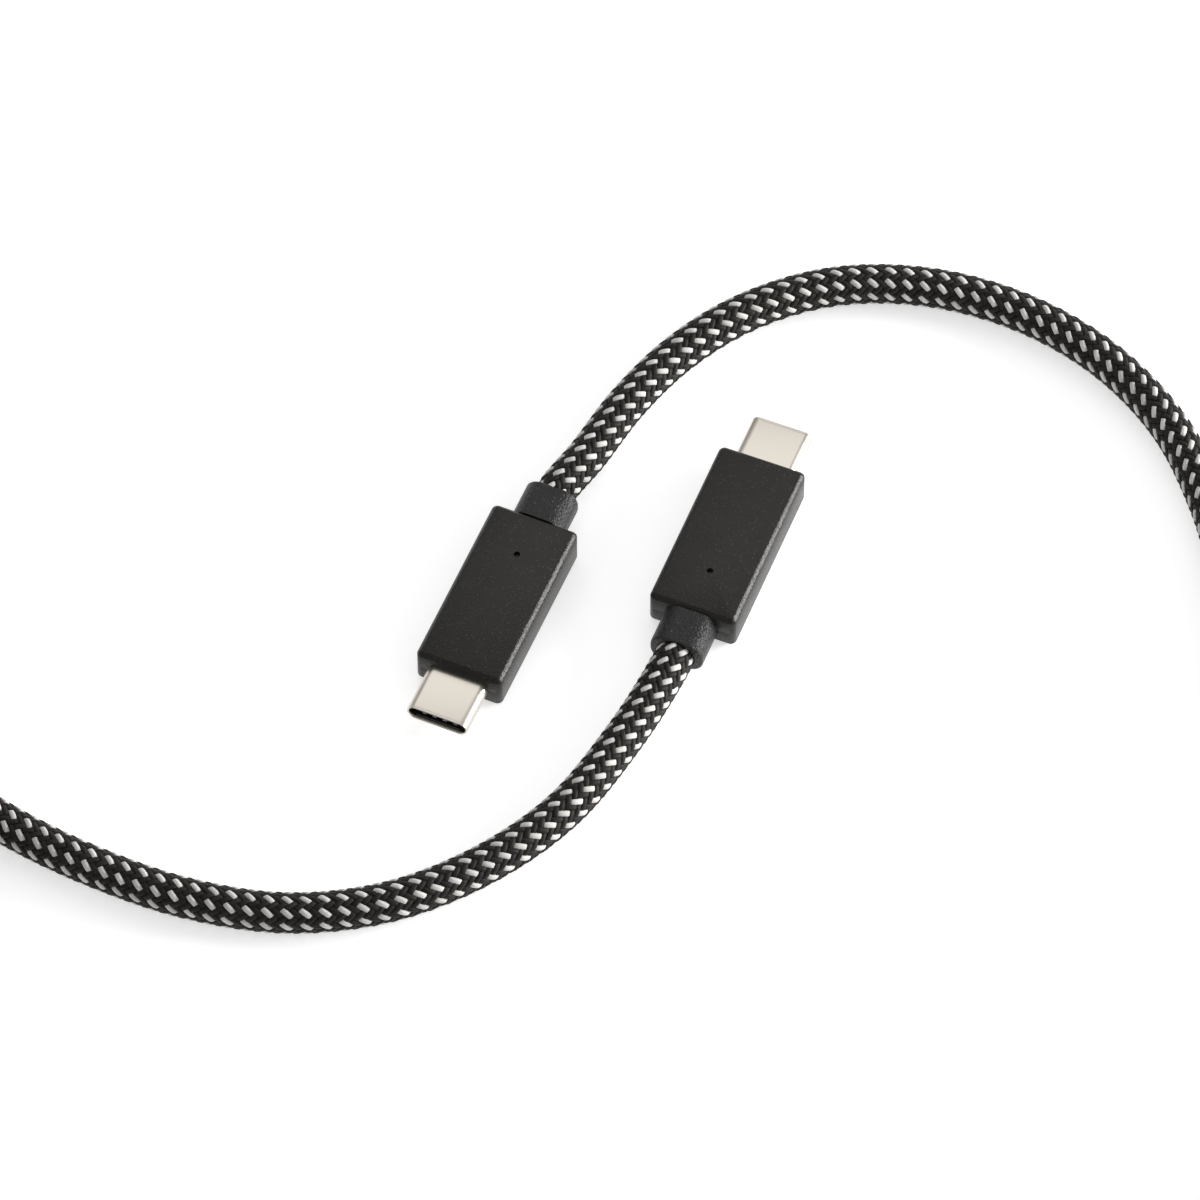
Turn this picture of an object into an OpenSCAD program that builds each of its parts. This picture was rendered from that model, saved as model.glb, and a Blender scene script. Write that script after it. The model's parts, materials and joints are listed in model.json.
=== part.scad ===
// Charging cable: a woven round cord with the same reversible oval plug at each end.
// Both plugs lie flat on the table. The cord leaves plug a, swings over the top and round the
// front, is wound into a coil of two and a third turns beside the plugs, and runs on into plug b.
// Each plug is drawn in its own frame: +X from the case's rear face to the tip, +Y to the left,
// and Z = 0 on the plug's middle plane. at_plug() then puts it in its place on the table.

/* [Plug case] */
// Length of the case, rear face to front face
case_l = 25; // [22:0.1:28]
// Width of the case
case_w = 11.7; // [11:0.1:13]
// Height of the case
case_h = 5.6; // [5.4:0.1:7]
// Radius of the case's upright corners
corner_r = 0.8; // [0.6:0.1:2]
// Bevel along the case's top and bottom edges
edge_bevel = 0.45; // [0.2:0.05:0.7]
// Wall of the case at its sides
case_wall = 0.95; // [0.7:0.05:1]
// Skin of the case above and below the cavity
case_skin = 0.8; // [0.7:0.05:0.8]
// Thickness of the case's front and rear walls
end_wall = 1.6; // [1.2:0.1:1.8]
// Diameter of the small round recess in the top
recess_d = 0.8; // [0.5:0.1:1.2]
// Distance of the recess from the rear face
recess_x = 6.3; // [4:0.1:10]
// Depth of the recess
recess_depth = 0.35; // [0.2:0.05:0.5]

/* [Strain relief] */
// Length that stands out of the case
relief_l = 5.3; // [4:0.1:10]
// Width of the strain relief
relief_w = 7.1; // [6.5:0.1:9]
// Height of the strain relief
relief_h = 5.2; // [5.1:0.1:5.4]
// Radius of the strain relief's long corners
relief_r = 2.2; // [1.5:0.1:2.5]

/* [Plug shell] */
// Outer width of the metal shell
shell_w = 8.25; // [8.2:0.01:8.3]
// Outer height of the metal shell
shell_h = 2.40; // [2.35:0.01:2.45]
// Length of the shell outside the case
shell_out = 6.65; // [6.2:0.05:6.9]
// Length of the shell inside the case
shell_in = 4.2; // [4:0.1:4.4]
// Thickness of the shell's metal
shell_wall = 0.2; // [0.15:0.01:0.22]

/* [Contacts] */
// Contacts in each row
contact_count = 12; // [8:1:12]
// Distance from one contact to the next
contact_pitch = 0.5; // [0.4:0.01:0.5]
// Width of a contact
contact_w = 0.2; // [0.15:0.01:0.22]

/* [Cord] */
// Outer diameter of the woven cord
cord_d = 5.2; // [4.9:0.1:5.2]
// Diameter of the inner jacket under the woven sleeve
jacket_d = 3.4; // [3:0.1:3.4]
// Thickness of the hook-and-loop tie round the coil
tie_t = 0.9; // [0.7:0.1:1.2]
// Sides of the cord's tube
cord_sides = 10; // [8:1:12]

/* [Hidden] */
$fn = 48;

// Where each plug's rear face stands on the table, and the way its tip points.
PLUG_A = [-9.54, 6.84, -113.1];
PLUG_B = [10.03, -7.32, 68.1];

// Clearance between parts that are pushed or slid together.
fit = 0.03;
cavity_h = case_h - 2 * case_skin;
cavity_w = case_w - 2 * case_wall;

// Stations along the plug.
block_x = case_l - 4.6;
block_l = 2.6;
plate_end = case_l + shell_out - 0.35;
tail_l = 1.3;
board_x = 9.4;
board_w = 8.4;
board_t = 0.6;
jacket_end_x = 7.6;
pad_end_x = 11;
power_wire_d = 0.9;
signal_wire_d = 0.5;

// Insulators: how far their bodies stand from the middle plane.
mouth_half = 0.52;
plate_top = 0.84;
insulator_w = 6.0;
plate_gap = 0.07;
contact_z = board_t / 2;
contact_t = 0.12;
slot_w = contact_w + 0.06;

// Ground springs and side latches inside the shell. The spring's four fingers reach into the
// mouth through windows in the insulator.
spring_z = 0.87;
spring_t = 0.1;
FINGERS = [-2.1, -0.7, 0.7, 2.1];
latch_half = 0.3;

// The identification chip on the board, with its small index dot.
chip_x = 13.2;
chip_w = 2.6;
chip_h = 0.65;
chip_dot_d = 0.3;

// The thin metal can round the board.
can_x = 8.6;
can_l = 12;
can_w = 9.1;
can_h = 3.6;
can_t = 0.15;

// Two pegs of the lower case hold the halves in line in two bosses of the upper case.
peg_d = 1.2;
peg_x = 5.4;
peg_y = 3.5;
boss_d = 2.2;

// The strain relief's neck and flange, and the seat of the woven sleeve's end in it.
cord_r = cord_d / 2;
relief_neck_d = 4.5;
relief_flange_w = 8.4;
sleeve_d = 4.8;
sleeve_seat = 4.3;

// The coil: two turns side by side on the table, and part of a turn lying on top of them.
COIL = [-106.4, -45.2];
outer_turn_r = 26;
inner_turn_r = outer_turn_r - cord_d;
top_turn_r = (outer_turn_r + inner_turn_r) / 2;
top_turn_z = 7.4;
// The top turn starts where the long run climbs on, and ends where it drops inside.
top_from = -50;
top_to = 180;
leave_angle = 41;
// The tie goes round the two turns and the one on top, inside the space that these sizes give.
tie_angle = 110;
tie_sweep = 18;
tie_half_w = cord_d;
tie_shoulder_z = 4.6;
tie_top_half_w = 2.2;
tie_top_z = top_turn_z + cord_d / 2;

// The cord's route: hand-set points on the table, one cord radius up unless a height is given.
RUN_A = [
  [-7.5, 11.7, 2.8], [-3.2, 18.1], [2, 26.3], [8.5, 33.9], [17, 40.3], [28.8, 44.6], [41, 44.5],
  [52.6, 40.7], [62.8, 33.7], [71, 23.4], [76, 10.7], [78.8, -4], [80.5, -20], [82, -38],
  [83, -56], [83.2, -72], [82, -86], [76.5, -96.5], [66.5, -102], [52, -103], [36, -102.5],
  [18, -101.5], [0, -100.5], [-18, -100], [-36, -100], [-54, -100], [-70, -99.5],
  [-84, -97.5], [-97.5, -92.5], [-109.5, -84.5, 2.9], [-118.5, -75, 5.2],
  [-124.8, -65, 7.6], [-128.5, -55, 7.8], [-129.8, -45.2, 7.4]
];
RUN_B = [
  [-86.8, -28.1], [-76.5, -36.6], [-64, -43.7], [-52.5, -48.2], [-39.8, -50.3],
  [-27.7, -48.7], [-16.4, -43.6], [-6.4, -35.6], [1, -25.3], [5.8, -16.8], [8, -12.3, 2.8]
];

module at_plug(place) {
  translate([place[0], place[1], case_h / 2])
    rotate(place[2])
      children();
}

// ---- Shared shapes ----

module rounded_rect(w, h, r) {
  square([w - 2 * r, h], center = true);
  square([w, h - 2 * r], center = true);
  for (sx = [-1, 1], sy = [-1, 1])
    translate([sx * (w / 2 - r), sy * (h / 2 - r)])
      circle(r = r);
}

module obround(w, h) {
  square([w - h, h], center = true);
  for (s = [-1, 1])
    translate([s * (w - h) / 2, 0])
      circle(d = h);
}

// Extrudes an outline drawn in Y (across) and Z (up) along +X, from x0 over length l.
module along_x(x0, l) {
  translate([x0, 0, 0])
    rotate([90, 0, 90])
      linear_extrude(l)
        children();
}

// Extrudes an outline drawn in X and Z through a width w, centred on y.
module across_y(y, w) {
  translate([0, y + w / 2, 0])
    rotate([90, 0, 0])
      linear_extrude(w)
        children();
}

module box_at(x, y, z) {
  translate([x[0], y[0], z[0]])
    cube([x[1] - x[0], y[1] - y[0], z[1] - z[0]]);
}

// A rectangle a by b with its four corners cut by c, centred.
module bevelled_rect(a, b, c) {
  polygon([
    [-a / 2 + c, -b / 2], [a / 2 - c, -b / 2], [a / 2, -b / 2 + c], [a / 2, b / 2 - c],
    [a / 2 - c, b / 2], [-a / 2 + c, b / 2], [-a / 2, b / 2 - c], [-a / 2, -b / 2 + c]
  ]);
}

// ---- Case ----

module case_block() {
  intersection() {
    translate([case_l / 2, 0, -case_h / 2])
      linear_extrude(case_h)
        rounded_rect(case_l, case_w, corner_r);
    across_y(0, case_w)
      translate([case_l / 2, 0])
        bevelled_rect(case_l, case_h, edge_bevel);
    along_x(0, case_l)
      bevelled_rect(case_w, case_h, edge_bevel);
  }
}

module case_space() {
  box_at([end_wall, case_l - end_wall], [-cavity_w / 2, cavity_w / 2],
         [-cavity_h / 2, cavity_h / 2]);
  along_x(case_l - end_wall - 1, end_wall + 2)
    obround(shell_w + 2 * fit, shell_h + 2 * fit);
  along_x(-1, end_wall + 2)
    circle(d = relief_neck_d + 2 * fit);
}

module upper_case() {
  color([0.16, 0.155, 0.15])
    difference() {
      union() {
        intersection() {
          difference() {
            case_block();
            case_space();
          }
          box_at([-1, case_l + 1], [-case_w, case_w], [0, case_h]);
        }
        for (s = [-1, 1])
          translate([peg_x, s * peg_y, 0])
            cylinder(h = cavity_h / 2 + 0.2, d = boss_d);
      }
      for (s = [-1, 1])
        translate([peg_x, s * peg_y, -1])
          cylinder(h = 2.5, d = peg_d + 2 * fit);
      translate([recess_x, 0, case_h / 2 - recess_depth])
        cylinder(h = 1, d = recess_d);
    }
}

module lower_case() {
  color([0.16, 0.155, 0.15]) {
    intersection() {
      difference() {
        case_block();
        case_space();
      }
      box_at([-1, case_l + 1], [-case_w, case_w], [-case_h, 0]);
    }
    for (s = [-1, 1])
      translate([peg_x, s * peg_y, -cavity_h / 2 - 0.2]) {
        cylinder(h = cavity_h / 2 + 1.4, d = peg_d);
        cylinder(h = cavity_h / 2 + 0.2, d = boss_d);
      }
  }
}

// ---- Strain relief and cord end ----

module strain_relief() {
  color([0.18, 0.175, 0.17])
    difference() {
      union() {
        intersection() {
          along_x(-relief_l, relief_l)
            rounded_rect(relief_w, relief_h, relief_r);
          translate([0, 0, -relief_h / 2])
            linear_extrude(relief_h)
              bevelled_rect(2 * relief_l, relief_w, 0.7);
          across_y(0, relief_w)
            bevelled_rect(2 * relief_l, relief_h, 0.12);
        }
        along_x(-0.1, end_wall + 0.2)
          circle(d = relief_neck_d);
        along_x(end_wall + fit, 1.4)
          rounded_rect(relief_flange_w, cavity_h - 2 * fit, 0.8);
      }
      along_x(-relief_l - 1, sleeve_seat + 1)
        circle(d = sleeve_d + 2 * fit);
      along_x(-relief_l, relief_l + end_wall + 2)
        circle(d = jacket_d + 2 * fit);
    }
}

module sleeve_end() {
  color([0.1, 0.1, 0.1])
    along_x(-relief_l, sleeve_seat - fit)
      difference() {
        circle(d = sleeve_d);
        circle(d = jacket_d + 2 * fit);
      }
}

module jacket_end() {
  color([0.2, 0.2, 0.21])
    along_x(-relief_l, relief_l + jacket_end_x)
      circle(d = jacket_d);
}

module crimp_ring() {
  color([0.72, 0.45, 0.25])
    along_x(4, 3.2)
      difference() {
        circle(d = cavity_h - 2 * fit);
        circle(d = jacket_d + 2 * fit);
      }
}

// ---- Plug shell, insulators and contacts ----

module plug_shell() {
  color([0.85, 0.83, 0.8])
    difference() {
      union() {
        along_x(case_l - shell_in, shell_in + shell_out)
          obround(shell_w, shell_h);
        along_x(case_l - end_wall - 0.45, 0.4)
          obround(shell_w + 0.7, shell_h + 0.7);
      }
      along_x(case_l - shell_in - 1, shell_in + shell_out + 2)
        obround(shell_w - 2 * shell_wall, shell_h - 2 * shell_wall);
    }
}

function contact_y(i) = (i - (contact_count - 1) / 2) * contact_pitch;

module insulator_upper() {
  color([0.08, 0.08, 0.08])
    difference() {
      union() {
        box_at([block_x, plate_end], [-insulator_w / 2, insulator_w / 2],
               [mouth_half, plate_top]);
        box_at([block_x, block_x + block_l], [-insulator_w / 2, insulator_w / 2],
               [plate_gap, plate_top]);
      }
      for (i = [0 : contact_count - 1]) {
        box_at([block_x - 1, block_x + block_l + 1],
               [contact_y(i) - slot_w / 2, contact_y(i) + slot_w / 2],
               [contact_z - fit, contact_z + contact_t + fit]);
        box_at([case_l + 2.9, case_l + 4.4],
               [contact_y(i) - slot_w / 2, contact_y(i) + slot_w / 2],
               [mouth_half - 0.1, 0.75]);
      }
      for (y = FINGERS)
        box_at([case_l + 4.6, case_l + 6], [y - 0.35, y + 0.35], [0, 1]);
    }
}

module insulator_lower() {
  mirror([0, 0, 1])
    insulator_upper();
}

// One row of sprung contacts: tail on the board, body in the insulator, bowed tip in the mouth.
module contacts_upper() {
  z = contact_z;
  t = contact_t;
  color([0.85, 0.65, 0.25])
    for (i = [0 : contact_count - 1])
      across_y(contact_y(i), contact_w)
        polygon([
          [block_x - tail_l, z], [case_l + 2, z], [case_l + 3, z - 0.1], [case_l + 3.4, z - 0.1],
          [case_l + 4.1, z + 0.2], [case_l + 4, z + 0.2 + t], [case_l + 3.3, z - 0.1 + t],
          [case_l + 3.05, z - 0.1 + t], [case_l + 2, z + t], [block_x - tail_l, z + t]
        ]);
}

module contacts_lower() {
  mirror([0, 0, 1])
    contacts_upper();
}

module ground_plate() {
  color([0.7, 0.7, 0.7])
    box_at([block_x, block_x + block_l], [-insulator_w / 2, insulator_w / 2],
           [-plate_gap + 0.02, plate_gap - 0.02]);
}

module ground_spring_upper() {
  color([0.78, 0.76, 0.72]) {
    box_at([case_l + 0.5, case_l + 4.7], [-2.5, 2.5], [spring_z, spring_z + spring_t]);
    for (y = FINGERS)
      across_y(y, 0.5)
        polygon([
          [case_l + 4.6, spring_z], [case_l + 4.7, spring_z], [case_l + 5.3, 0.44],
          [case_l + 5.8, 0.7], [case_l + 5.72, 0.8], [case_l + 5.32, 0.58],
          [case_l + 4.75, spring_z + spring_t], [case_l + 4.6, spring_z + spring_t]
        ]);
  }
}

module ground_spring_lower() {
  mirror([0, 0, 1])
    ground_spring_upper();
}

// Side latch: a bar that turns a little about its root, with a hook that grips the socket's tongue.
module latch_left() {
  x0 = block_x + 0.1;
  color([0.75, 0.73, 0.7])
    translate([0, 0, -latch_half])
      linear_extrude(2 * latch_half)
        polygon([
          [x0, 3.08], [x0 + 1.5, 3.08], [x0 + 1.7, 3.35], [case_l + 3.6, 3.35],
          [case_l + 4.1, 2.98], [case_l + 4.4, 2.98], [case_l + 4.9, 3.3],
          [case_l + 4.9, 3.5], [x0 + 1.7, 3.5], [x0 + 1.5, 3.7], [x0, 3.7]
        ]);
}

module latch_right() {
  mirror([0, 1, 0])
    latch_left();
}

// ---- Board, shields and wires ----

module circuit_board() {
  color([0.1, 0.3, 0.2])
    box_at([board_x, block_x - 0.05], [-board_w / 2, board_w / 2],
           [-board_t / 2, board_t / 2]);
}

module marker_chip() {
  color([0.07, 0.07, 0.08])
    difference() {
      box_at([chip_x, chip_x + chip_w], [-chip_w / 2, chip_w / 2],
             [board_t / 2, board_t / 2 + chip_h]);
      translate([chip_x + 0.4, chip_w / 2 - 0.4, board_t / 2 + chip_h - 0.05])
        cylinder(h = 1, d = chip_dot_d, $fn = 24);
    }
}

module capacitors() {
  color([0.6, 0.5, 0.38])
    for (x = [12.4, 14.6, 16.8], s = [-1, 1])
      translate([x, s * 2.9, 0])
        box_at([-0.5, 0.5], [-0.25, 0.25], [board_t / 2, board_t / 2 + 0.5]);
}

module shield_upper() {
  color([0.75, 0.72, 0.66])
    difference() {
      box_at([can_x, can_x + can_l], [-can_w / 2, can_w / 2], [0, can_h / 2]);
      box_at([can_x - 1, can_x + can_l + 1], [-can_w / 2 + can_t, can_w / 2 - can_t],
             [-1, can_h / 2 - can_t]);
    }
}

module shield_lower() {
  mirror([0, 0, 1])
    shield_upper();
}

// Insulated wires from the jacket's end onto the pads at the board's rear edge.
module wire_row(places, d, z) {
  for (y = places)
    translate([0, y, z])
      along_x(jacket_end_x, pad_end_x - jacket_end_x)
        circle(d = d);
}

module power_wires() {
  color([0.75, 0.1, 0.08])
    wire_row([-0.8, 0.8], power_wire_d, (board_t + power_wire_d) / 2);
}

module signal_wires() {
  color([0.9, 0.9, 0.88])
    wire_row([-1.05, -0.35, 0.35, 1.05], signal_wire_d, -(board_t + signal_wire_d) / 2);
}

// ---- Cord ----

function lifted(p) = len(p) == 3 ? p : [p[0], p[1], cord_r];

// A smooth curve through a, b, c and d, at t from 0 at b to 1 at c.
function between(a, b, c, d, t) =
  0.5 * (2 * b + (c - a) * t + (2 * a - 5 * b + 4 * c - d) * t * t
         + (3 * b - 3 * c + d - a) * t * t * t);

// The route with a point added halfway along each of its longer spans.
function fuller(route) =
  let (p = [for (q = route) lifted(q)], last = len(p) - 1)
  [for (i = [0 : last - 1], t = norm(p[i + 1] - p[i]) > 15 ? [0, 0.5] : [0])
     between(p[max(i - 1, 0)], p[i], p[i + 1], p[min(i + 2, last)], t),
   p[last]];

function unit(v) = v / norm(v);

// One ring of the tube at point i of line, square to the line.
function ring(line, i, ends) =
  let (last = len(line) - 1,
       way = i == 0 ? ends[0] : i == last ? ends[1] : unit(line[i + 1] - line[i - 1]),
       side = unit(cross(way, [0, 0, 1])),
       up = cross(side, way))
  [for (k = [0 : cord_sides - 1])
     let (a = 360 * (k + 0.5) / cord_sides)
     line[i] + cord_r * (cos(a) * side + sin(a) * up)];

function heading(angle) = [cos(angle), sin(angle), 0];

// A tube along the route, with its end faces square to the given end headings.
module cord_tube(route, ends) {
  line = fuller(route);
  count = len(line);
  points = [for (i = [0 : count - 1]) each ring(line, i, ends)];
  walls = [for (i = [0 : count - 2], k = [0 : cord_sides - 1])
             let (j = (k + 1) % cord_sides, a = i * cord_sides, b = a + cord_sides)
             each [[a + k, b + k, b + j], [a + k, b + j, a + j]]];
  near = [for (k = [0 : cord_sides - 1]) k];
  far = [for (k = [cord_sides - 1 : -1 : 0]) (count - 1) * cord_sides + k];
  polyhedron(points, concat([near], walls, [far]));
}

module cord_run_a() {
  color([0.13, 0.13, 0.13])
    cord_tube(RUN_A, [heading(PLUG_A[2] + 180), heading(90)]);
}

module cord_run_b() {
  color([0.13, 0.13, 0.13])
    cord_tube(RUN_B, [heading(leave_angle - 90), heading(PLUG_B[2])]);
}

// Outline of the two turns that lie side by side on the table.
module floor_turns() {
  translate([top_turn_r, cord_r])
    obround(2 * cord_d, cord_d);
}

module cord_coil() {
  color([0.13, 0.13, 0.13])
    translate([COIL[0], COIL[1], 0])
      difference() {
        union() {
          rotate_extrude($fn = 96)
            floor_turns();
          rotate(top_from)
            rotate_extrude(angle = top_to - top_from, $fn = 96)
              translate([top_turn_r, top_turn_z])
                circle(r = cord_r);
        }
        tie_band();
      }
}

// Outline of the three turns in the tie, drawn larger all round by grow.
module tied_turns(grow) {
  translate([top_turn_r, 0])
    polygon([
      [-tie_half_w - grow, tie_t - grow], [tie_half_w + grow, tie_t - grow],
      [tie_half_w + grow, tie_shoulder_z + grow / 2], [tie_top_half_w + grow / 2, tie_top_z + grow],
      [-tie_top_half_w - grow / 2, tie_top_z + grow], [-tie_half_w - grow, tie_shoulder_z + grow / 2]
    ]);
}

module tie_band() {
  rotate(tie_angle)
    rotate_extrude(angle = tie_sweep, $fn = 96)
      difference() {
        tied_turns(tie_t);
        tied_turns(0);
      }
}

module coil_tie() {
  color([0.1, 0.1, 0.11])
    translate([COIL[0], COIL[1], 0])
      tie_band();
}

at_plug(PLUG_A) upper_case();  // upper_case_a
at_plug(PLUG_A) lower_case();  // lower_case_a
at_plug(PLUG_A) strain_relief();  // strain_relief_a
at_plug(PLUG_A) plug_shell();  // plug_shell_a
at_plug(PLUG_A) insulator_upper();  // insulator_upper_a
at_plug(PLUG_A) insulator_lower();  // insulator_lower_a
at_plug(PLUG_A) contacts_upper();  // contacts_upper_a
at_plug(PLUG_A) contacts_lower();  // contacts_lower_a
at_plug(PLUG_A) ground_plate();  // ground_plate_a
at_plug(PLUG_A) ground_spring_upper();  // ground_spring_upper_a
at_plug(PLUG_A) ground_spring_lower();  // ground_spring_lower_a
at_plug(PLUG_A) latch_left();  // latch_left_a
at_plug(PLUG_A) latch_right();  // latch_right_a
at_plug(PLUG_A) circuit_board();  // circuit_board_a
at_plug(PLUG_A) marker_chip();  // marker_chip_a
at_plug(PLUG_A) capacitors();  // capacitors_a
at_plug(PLUG_A) shield_upper();  // shield_upper_a
at_plug(PLUG_A) shield_lower();  // shield_lower_a
at_plug(PLUG_A) crimp_ring();  // crimp_ring_a
at_plug(PLUG_A) jacket_end();  // jacket_end_a
at_plug(PLUG_A) sleeve_end();  // sleeve_end_a
at_plug(PLUG_A) power_wires();  // power_wires_a
at_plug(PLUG_A) signal_wires();  // signal_wires_a
at_plug(PLUG_B) upper_case();  // upper_case_b
at_plug(PLUG_B) lower_case();  // lower_case_b
at_plug(PLUG_B) strain_relief();  // strain_relief_b
at_plug(PLUG_B) plug_shell();  // plug_shell_b
at_plug(PLUG_B) insulator_upper();  // insulator_upper_b
at_plug(PLUG_B) insulator_lower();  // insulator_lower_b
at_plug(PLUG_B) contacts_upper();  // contacts_upper_b
at_plug(PLUG_B) contacts_lower();  // contacts_lower_b
at_plug(PLUG_B) ground_plate();  // ground_plate_b
at_plug(PLUG_B) ground_spring_upper();  // ground_spring_upper_b
at_plug(PLUG_B) ground_spring_lower();  // ground_spring_lower_b
at_plug(PLUG_B) latch_left();  // latch_left_b
at_plug(PLUG_B) latch_right();  // latch_right_b
at_plug(PLUG_B) circuit_board();  // circuit_board_b
at_plug(PLUG_B) marker_chip();  // marker_chip_b
at_plug(PLUG_B) capacitors();  // capacitors_b
at_plug(PLUG_B) shield_upper();  // shield_upper_b
at_plug(PLUG_B) shield_lower();  // shield_lower_b
at_plug(PLUG_B) crimp_ring();  // crimp_ring_b
at_plug(PLUG_B) jacket_end();  // jacket_end_b
at_plug(PLUG_B) sleeve_end();  // sleeve_end_b
at_plug(PLUG_B) power_wires();  // power_wires_b
at_plug(PLUG_B) signal_wires();  // signal_wires_b
cord_run_a();
cord_run_b();
cord_coil();
coil_tie();
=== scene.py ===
"""A braided charging cable, with the same reversible oval plug at each end."""

import json
import math
from types import SimpleNamespace

import bpy
import numpy as np
from mathutils import Matrix, Vector


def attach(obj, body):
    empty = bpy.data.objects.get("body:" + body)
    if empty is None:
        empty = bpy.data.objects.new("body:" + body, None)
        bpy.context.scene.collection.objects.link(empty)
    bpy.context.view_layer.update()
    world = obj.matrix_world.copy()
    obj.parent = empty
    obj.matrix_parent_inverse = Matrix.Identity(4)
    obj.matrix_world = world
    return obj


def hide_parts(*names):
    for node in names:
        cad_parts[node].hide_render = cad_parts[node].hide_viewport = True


bl_info = {
    "name": "Braided Charging Cable",
    "version": (1, 0, 0),
    "blender": (4, 5, 0),
    "location": "3D View > Sidebar > Cable",
    "description": "Builds a braided cable, its coil and tie, and a reversible plug at each end",
    "category": "Add Mesh",
}

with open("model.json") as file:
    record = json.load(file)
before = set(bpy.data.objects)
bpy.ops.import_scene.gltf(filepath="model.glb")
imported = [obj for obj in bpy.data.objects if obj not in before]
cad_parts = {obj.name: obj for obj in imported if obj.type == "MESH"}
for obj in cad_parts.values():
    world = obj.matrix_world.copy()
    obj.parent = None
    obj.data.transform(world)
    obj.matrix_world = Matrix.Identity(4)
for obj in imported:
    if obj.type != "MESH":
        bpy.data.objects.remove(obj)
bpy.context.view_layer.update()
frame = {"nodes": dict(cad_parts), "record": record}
MM = 0.001
PLUGS = ("a", "b")


# ---- Settings ----


def length_setting(name, description, millimetres):
    """A length that the user may change, in metres, from its usual size in millimetres."""
    return bpy.props.FloatProperty(
        name=name, description=description, default=millimetres * MM, unit="LENGTH", precision=5
    )


def colour_setting(name, description, colour):
    return bpy.props.FloatVectorProperty(
        name=name, description=description, default=colour, subtype="COLOR", size=3, min=0, max=1
    )


class PlugSettings(bpy.types.PropertyGroup):
    """Sizes of one plug; the two plugs are alike."""

    case_length: length_setting("Case length", "Rear face to front face of the case", 25)
    case_width: length_setting("Case width", "Width of the case", 11.7)
    case_height: length_setting("Case height", "Height of the case", 5.6)
    corner_radius: length_setting("Corner radius", "Radius of the case's upright corners", 0.8)
    edge_radius: length_setting("Edge radius", "Easing of the edges round the case's top and bottom", 0.65)
    case_wall: length_setting("Case wall", "Thickness of the case's side walls", 0.95)
    case_skin: length_setting("Case skin", "Thickness of the case's top and bottom", 0.8)
    recess_radius: length_setting("Recess radius", "Radius of the small recess in the top", 0.42)
    recess_place: length_setting("Recess place", "Recess from the case's rear face", 6.3)
    recess_depth: length_setting("Recess depth", "Depth of the small recess", 0.5)
    relief_length: length_setting("Relief length", "How far the strain relief stands out", 5.3)
    relief_width: length_setting("Relief width", "Width of the strain relief", 7.1)
    relief_height: length_setting("Relief height", "Height of the strain relief", 5.2)
    relief_radius: length_setting("Relief radius", "Radius of the strain relief's flanks", 2.2)
    shell_width: length_setting("Shell width", "Outer width of the metal shell", 8.25)
    shell_height: length_setting("Shell height", "Outer height of the metal shell", 2.4)
    shell_out: length_setting("Shell outside", "Length of the shell outside the case", 6.65)
    shell_in: length_setting("Shell inside", "Length of the shell inside the case", 4.2)
    shell_wall: length_setting("Shell wall", "Thickness of the shell's metal", 0.2)


class CordSettings(bpy.types.PropertyGroup):
    """Sizes of the woven cord and its coil."""

    diameter: length_setting("Diameter", "Outer diameter of the woven cord", 5.2)
    seat_depth: length_setting("Seat depth", "How far the cord goes into a strain relief", 3.0)
    seat_radius: length_setting("Seat radius", "Radius of the cord's seat in a strain relief", 2.43)
    strand_pitch: length_setting("Strand pitch", "Distance along the cord between floats", 1.161)
    float_length: length_setting("Float length", "Length of one float, its hidden ends included", 1.92)
    float_width: length_setting("Float width", "Width of one float", 0.88)
    float_crown: length_setting("Float crown", "How far a float stands out of the core", 0.3)
    braid_angle: bpy.props.FloatProperty(
        name="Braid angle",
        description="Angle between a yarn and the cord's line",
        default=math.radians(40),
        subtype="ANGLE",
    )
    white_place: bpy.props.FloatProperty(
        name="Place of the white columns",
        description="Angle from the cord's top to the nearest column of white floats",
        default=math.radians(34),
        subtype="ANGLE",
    )
    tie_thickness: length_setting("Tie thickness", "Thickness of the strap round the coil", 0.9)
    tie_width: length_setting("Tie width", "Width of the strap round the coil", 7.0)
    seed: bpy.props.IntProperty(name="Seed", description="Seed of the yarns' small differences", default=7)


class FinishSettings(bpy.types.PropertyGroup):
    """Colours of the finishes."""

    case: colour_setting("Case", "Matte plastic of the case", (0.0125, 0.0112, 0.0093))
    relief: colour_setting("Strain relief", "Coarser plastic of the strain relief", (0.017, 0.0165, 0.016))
    shell: colour_setting("Shell", "Nickel plate of the shell", (0.70, 0.655, 0.585))
    white_yarn: colour_setting("White yarn", "White tracer yarn", (0.64, 0.62, 0.595))
    black_yarn: colour_setting("Black yarn", "Black yarn", (0.0105, 0.0095, 0.0083))
    tie: colour_setting("Tie", "Hook-and-loop strap", (0.016, 0.016, 0.018))


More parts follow.
